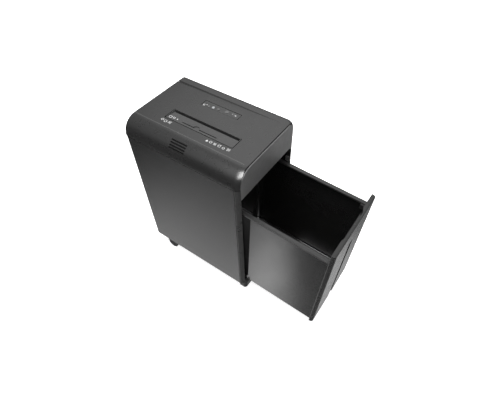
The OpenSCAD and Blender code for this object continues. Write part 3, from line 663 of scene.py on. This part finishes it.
def flange_part(name, x0, x1, sign, trim):
    """Strip of the rear flange, from x0 to x1 inside the panel's outer face."""
    y0, y1 = FLANGE_DEPTHS
    outline = [(x0 - HALF_W, y0), (x0 - HALF_W, y1), (x1 - HALF_W, y1), (x1 - HALF_W, y0)]
    return prism(name, mirrored(outline, sign), "z", FLANGE_LOW + trim, FLANGE_HIGH - trim)


def panel(name, sign):
    """Side panel with a rear flange; sign 1 is the near one."""
    outline = [(-HALF_W, POST_D), (-HALF_W, DEPTH - PANEL_R)]
    outline += arc(PANEL_R - HALF_W, DEPTH - PANEL_R, PANEL_R, 180, 120, 6)
    outline += [(PANEL_WALL - HALF_W, DEPTH - 2), (PANEL_WALL - HALF_W, POST_D)]
    obj = prism(name, mirrored(outline, sign), "z", 0.0, SKIRT - 1.6)
    flange = flange_part("rib", PANEL_WALL + 0.2, FLANGE_REACH, sign, 0)
    join(obj, flange_part("bridge", PANEL_WALL - 0.5, PANEL_WALL + 0.4, sign, 1))
    join(obj, flange)
    edge(obj, 0.6, 3, 35)
    return obj


finish_piece(panel("side_near", 1), PANEL, "cabinet", "panel", "near_side_panel")
finish_piece(panel("side_far", -1), PANEL, "cabinet", "panel", "far_side_panel")


# ---------------------------------------------------------------- waste bin, drawn level
def bucket_row(z, t, r):
    """Bucket's outline at height z, t inside the outer wall, with rear corners of radius r."""
    w, back = BIN_HALF_W - t, BIN_BACK - t
    outline = [(-w, BIN_FRONT + t), (w, BIN_FRONT + t)]
    outline += arc(w - r, back - r, r, 0, 90, 14) + arc(r - w, back - r, r, 90, 180, 14)
    return at_height(outline, z)


def bucket():
    """Open bucket; its floor's edge is rounded inside and outside."""
    outside = ((32.4, 3.0), (32.7, 1.9), (33.5, 0.9), (34.8, 0.3), (36.5, 0.0), (39.0, 0.0),
               (371.5, 0.0), (373.9, 0.0))
    obj = loft("bucket", [bucket_row(z, e, BIN_R - e) for z, e in outside], dropped)
    hollow = ((34.9, 4.0), (35.4, 2.4), (36.8, 1.0), (39.0, 0.0), (42.0, 0.0), (400.0, 0.0))
    inner_r = BIN_R - BIN_WALL
    rows = [bucket_row(z, BIN_WALL + e, inner_r - e / 2) for z, e in hollow]
    cut(obj, loft("bucket_hollow", rows, dropped))
    edge(obj, 0.4, 2, 35)
    return obj


def painted_shade_band():
    """Painted shade: black strip on the outside of the bin beside the near post, standing in for the
    shade the post casts on the bin's wall.
    """
    outline = rounded(-BIN_HALF_W - 0.5, -23.0, -BIN_HALF_W + 0.4, 24.0, 0.2, 2)
    return prism("bin_painted_shade_band", outline, "z", 60.0, 372.0, dropped)


finish_piece(bucket(), BIN, "bin", "bin", "bin_bucket")
finish_piece(painted_shade_band(), SHADE_BLACK, "bin", "bin")


def axle_lug(x):
    """Lug below the rim that carries the rear axle."""
    outline = rounded(x - LUG_HALF_W, 104.3, x + LUG_HALF_W, 114, 1, 2)
    lug = prism("lug", outline, "z", 363.5, RIM_LOW + 0.5, dropped)
    bore = circle(AXLE_Y, AXLE_Z, AXLE_BORE_R)
    cut(lug, prism("lug_bore", bore, "x", x - LUG_HALF_W - 4, x + LUG_HALF_W + 4, dropped))
    return lug


def rim():
    """Band round the bucket's edge, with a fine groove along each side."""
    corner_x, corner_y = RIM_HALF_W - RIM_R, RIM_BACK - RIM_R
    outline = [(-RIM_HALF_W, BIN_FRONT), (RIM_HALF_W, BIN_FRONT)]
    outline += arc(corner_x, corner_y, RIM_R, 0, 90, 8) + arc(-corner_x, corner_y, RIM_R, 90, 180, 8)
    obj = prism("rim_band", outline, "z", RIM_LOW, RIM_HIGH, dropped)
    cut(obj, prism("rim_hole", rounded(-108, -271, 108, 92, 8, 8), "z", 370, 385, dropped))
    for x in (-117.4, 117.4):
        groove = rounded(x - 0.8, -262, x + 0.8, 96, 0.3, 2)
        cut(obj, prism("lip_groove", groove, "z", RIM_HIGH - 1.2, 385, dropped))
    for x in (-LUG_X, LUG_X):
        join(obj, axle_lug(x))
    edge(obj, 0.9, 3, 35)
    return obj


def bin_front():
    """Front panel with a finger scoop, a parting line on its top edge and a recessed strip."""
    w, beyond = FRONT_HALF_W, 440.0
    outline = rounded(-w, FRONT_FACE, w, FRONT_BACK, (9, 9, 1.5, 1.5), 8)
    obj = prism("bin_front_panel", outline, "z", FRONT_LOW, FRONT_HIGH, dropped)
    scoop = [(-67.5, -258), (-47.5, -265.5), (47.5, -265.5), (67.5, -258)]
    cut(obj, prism("scoop", scoop, "z", RIM_HIGH + 1, beyond, dropped))
    line = rounded(-117.5, -270.4, 117.5, -269.2, 0.2, 2)
    cut(obj, prism("parting", line, "z", FRONT_HIGH - 2.2, beyond, dropped))
    strip = rounded(-11, FRONT_LOW - 4, 11, FRONT_LOW + 320, (0, 0, 3, 3), 5)
    cut(obj, prism("groove", strip, "y", FRONT_FACE - 8, FRONT_FACE + 4, dropped))
    edge(obj, 1.6, 4, 40)
    return obj


finish_piece(rim(), BIN_RIM, "bin", "rim", "bin_rim")
finish_piece(bin_front(), FRONT, "bin", "front", "bin_front")


# ---------------------------------------------------------------- floor
def floor():
    """White paper that neither shows in the gloss nor shades the surround from below."""
    size, n = 30.0, 24
    verts = [(size * (i / n - 0.5), size * (j / n - 0.5), 0.0)
             for j in range(n + 1) for i in range(n + 1)]
    faces = [(j * (n + 1) + i, j * (n + 1) + i + 1, (j + 1) * (n + 1) + i + 1, (j + 1) * (n + 1) + i)
             for j in range(n) for i in range(n)]
    obj = make("studio_floor", verts, faces)
    paper = plastic("floor_white", 0.9, 0.7, grain=200.0, bump=0.0, mottle=0.01)
    bsdf = paper.node_tree.nodes["Principled BSDF"]
    bsdf.inputs["Emission Color"].default_value = (1, 1, 1, 1)
    bsdf.inputs["Emission Strength"].default_value = 0.85
    paper.cycles.emission_sampling = "NONE"
    obj.data.materials.append(paper)
    obj.visible_glossy = False
    obj.visible_shadow = False


floor()


# ---------------------------------------------------------------- lights
def area_light(name, place, target, size, power):
    """Square light that faces the target; places and size in metres."""
    data = bpy.data.lights.new(name, "AREA")
    data.shape = "RECTANGLE"
    data.size = data.size_y = size
    data.energy = power
    obj = add_object(name, data)
    obj.location = place
    obj.rotation_euler = (Vector(target) - Vector(place)).to_track_quat("-Z", "Y").to_euler()
    return obj


def sky_levels(tree, direction, levels, scale):
    """Colour that depends on the sine of the elevation only."""
    split = tree.nodes.new("ShaderNodeSeparateXYZ")
    tree.links.new(direction, split.inputs[0])
    height = tree.nodes.new("ShaderNodeMapRange")
    height.inputs["From Min"].default_value = -1.0
    tree.links.new(split.outputs["Z"], height.inputs["Value"])
    curve = tree.nodes.new("ShaderNodeValToRGB")
    stops = curve.color_ramp.elements
    for sine, level in levels[1:-1]:
        stops.new(0.5 + 0.5 * sine).color = (*grey(level / scale), 1)
    stops[0].color = (*grey(levels[0][1] / scale), 1)
    stops[len(stops) - 1].color = (*grey(levels[-1][1] / scale), 1)
    tree.links.new(height.outputs["Result"], curve.inputs["Fac"])
    return curve.outputs["Color"]


def sky_pool(tree, direction, centre, inner, outer, strength):
    """Round bright patch about a direction, even up to the inner angle and gone at the outer."""
    dot = tree.nodes.new("ShaderNodeVectorMath")
    dot.operation = "DOT_PRODUCT"
    dot.inputs[1].default_value = Vector(centre).normalized()
    tree.links.new(direction, dot.inputs[0])
    fall = tree.nodes.new("ShaderNodeMapRange")
    fall.interpolation_type = "SMOOTHSTEP"
    fall.inputs["From Min"].default_value = math.cos(math.radians(outer))
    fall.inputs["From Max"].default_value = math.cos(math.radians(inner))
    fall.inputs["To Max"].default_value = strength
    tree.links.new(dot.outputs["Value"], fall.inputs["Value"])
    return fall.outputs["Result"]


def studio_world(levels, scale, pools):
    """Soft surround: a level for each sine of elevation, and soft bright pools."""
    world = bpy.data.worlds.new("studio")
    world.use_nodes = True
    world.cycles.sampling_method = "AUTOMATIC"
    tree = world.node_tree
    direction = tree.nodes.new("ShaderNodeTexCoord").outputs["Generated"]
    total = sky_levels(tree, direction, levels, scale)
    for centre, inner, outer, strength in pools:
        add = tree.nodes.new("ShaderNodeVectorMath")
        add.operation = "ADD"
        tree.links.new(total, add.inputs[0])
        pool = sky_pool(tree, direction, centre, inner, outer, strength / scale)
        tree.links.new(pool, add.inputs[1])
        total = add.outputs["Vector"]
    background = tree.nodes["Background"]
    tree.links.new(total, background.inputs["Color"])
    background.inputs["Strength"].default_value = scale
    bpy.context.scene.world = world


# sine of the elevation, level
LEVELS = [(-1.0, 0.25), (-0.93, 0.17), (-0.87, 0.14), (-0.78, 0.10), (-0.68, 0.06), (-0.3, 0.05),
          (0.0, 0.06), (0.5, 0.30), (0.76, 0.5), (1.0, 0.5)]
LEVEL_SCALE = 4.0  # colour ramps hold values up to one
# Direction, inner angle, outer angle, strength. The near side mirrors the directions with x and z
# below zero, the front faces those with y below zero, the top and shoulder those with z above zero.
POOLS = [((-0.26, 0.42, -0.87), 1, 21, 1.0),
         ((-0.50, 0.285, -0.81), 0.5, 4.2, 0.8),
         ((-0.443, 0.258, -0.86), 0.5, 4.2, 1.0),
         ((-0.397, 0.225, -0.889), 0.5, 4.5, 0.5),
         ((0.62, -0.38, -0.69), 2, 20, 0.6),
         ((0.48, -0.12, -0.868), 2, 10, 0.6),
         ((0.56, 0.36, 0.73), 5, 24, 1.40),
         ((-0.72, 0.38, 0.58), 3, 18, 0.6)]
soft_top = area_light("soft_top", (0.2, 0.3, 2.6), (0, 0, 0.3), 2.4, 72)
soft_top.visible_glossy = False
corner_light = area_light("soft_corner", (-1.20, -0.50, 2.35), (-0.11, -0.05, 0.57), 1.8, 200)
corner_light.visible_diffuse = False
studio_world(LEVELS, LEVEL_SCALE, POOLS)
bpy.context.scene.view_settings.view_transform = "Standard"

# ---------------------------------------------------------------- camera
CAMERA_PLACE, CAMERA_ANGLES = (-642.5, -399.9, 1209.0), (40.325, 0.802, -55.177)
camera_data = bpy.data.cameras.new("camera")
camera_data.sensor_width = 36.0
camera_data.lens = 28.277
camera = add_object("camera", camera_data)
camera.location = seat(CAMERA_PLACE)
camera.rotation_euler = tuple(math.radians(a) for a in CAMERA_ANGLES)
bpy.context.scene.camera = camera
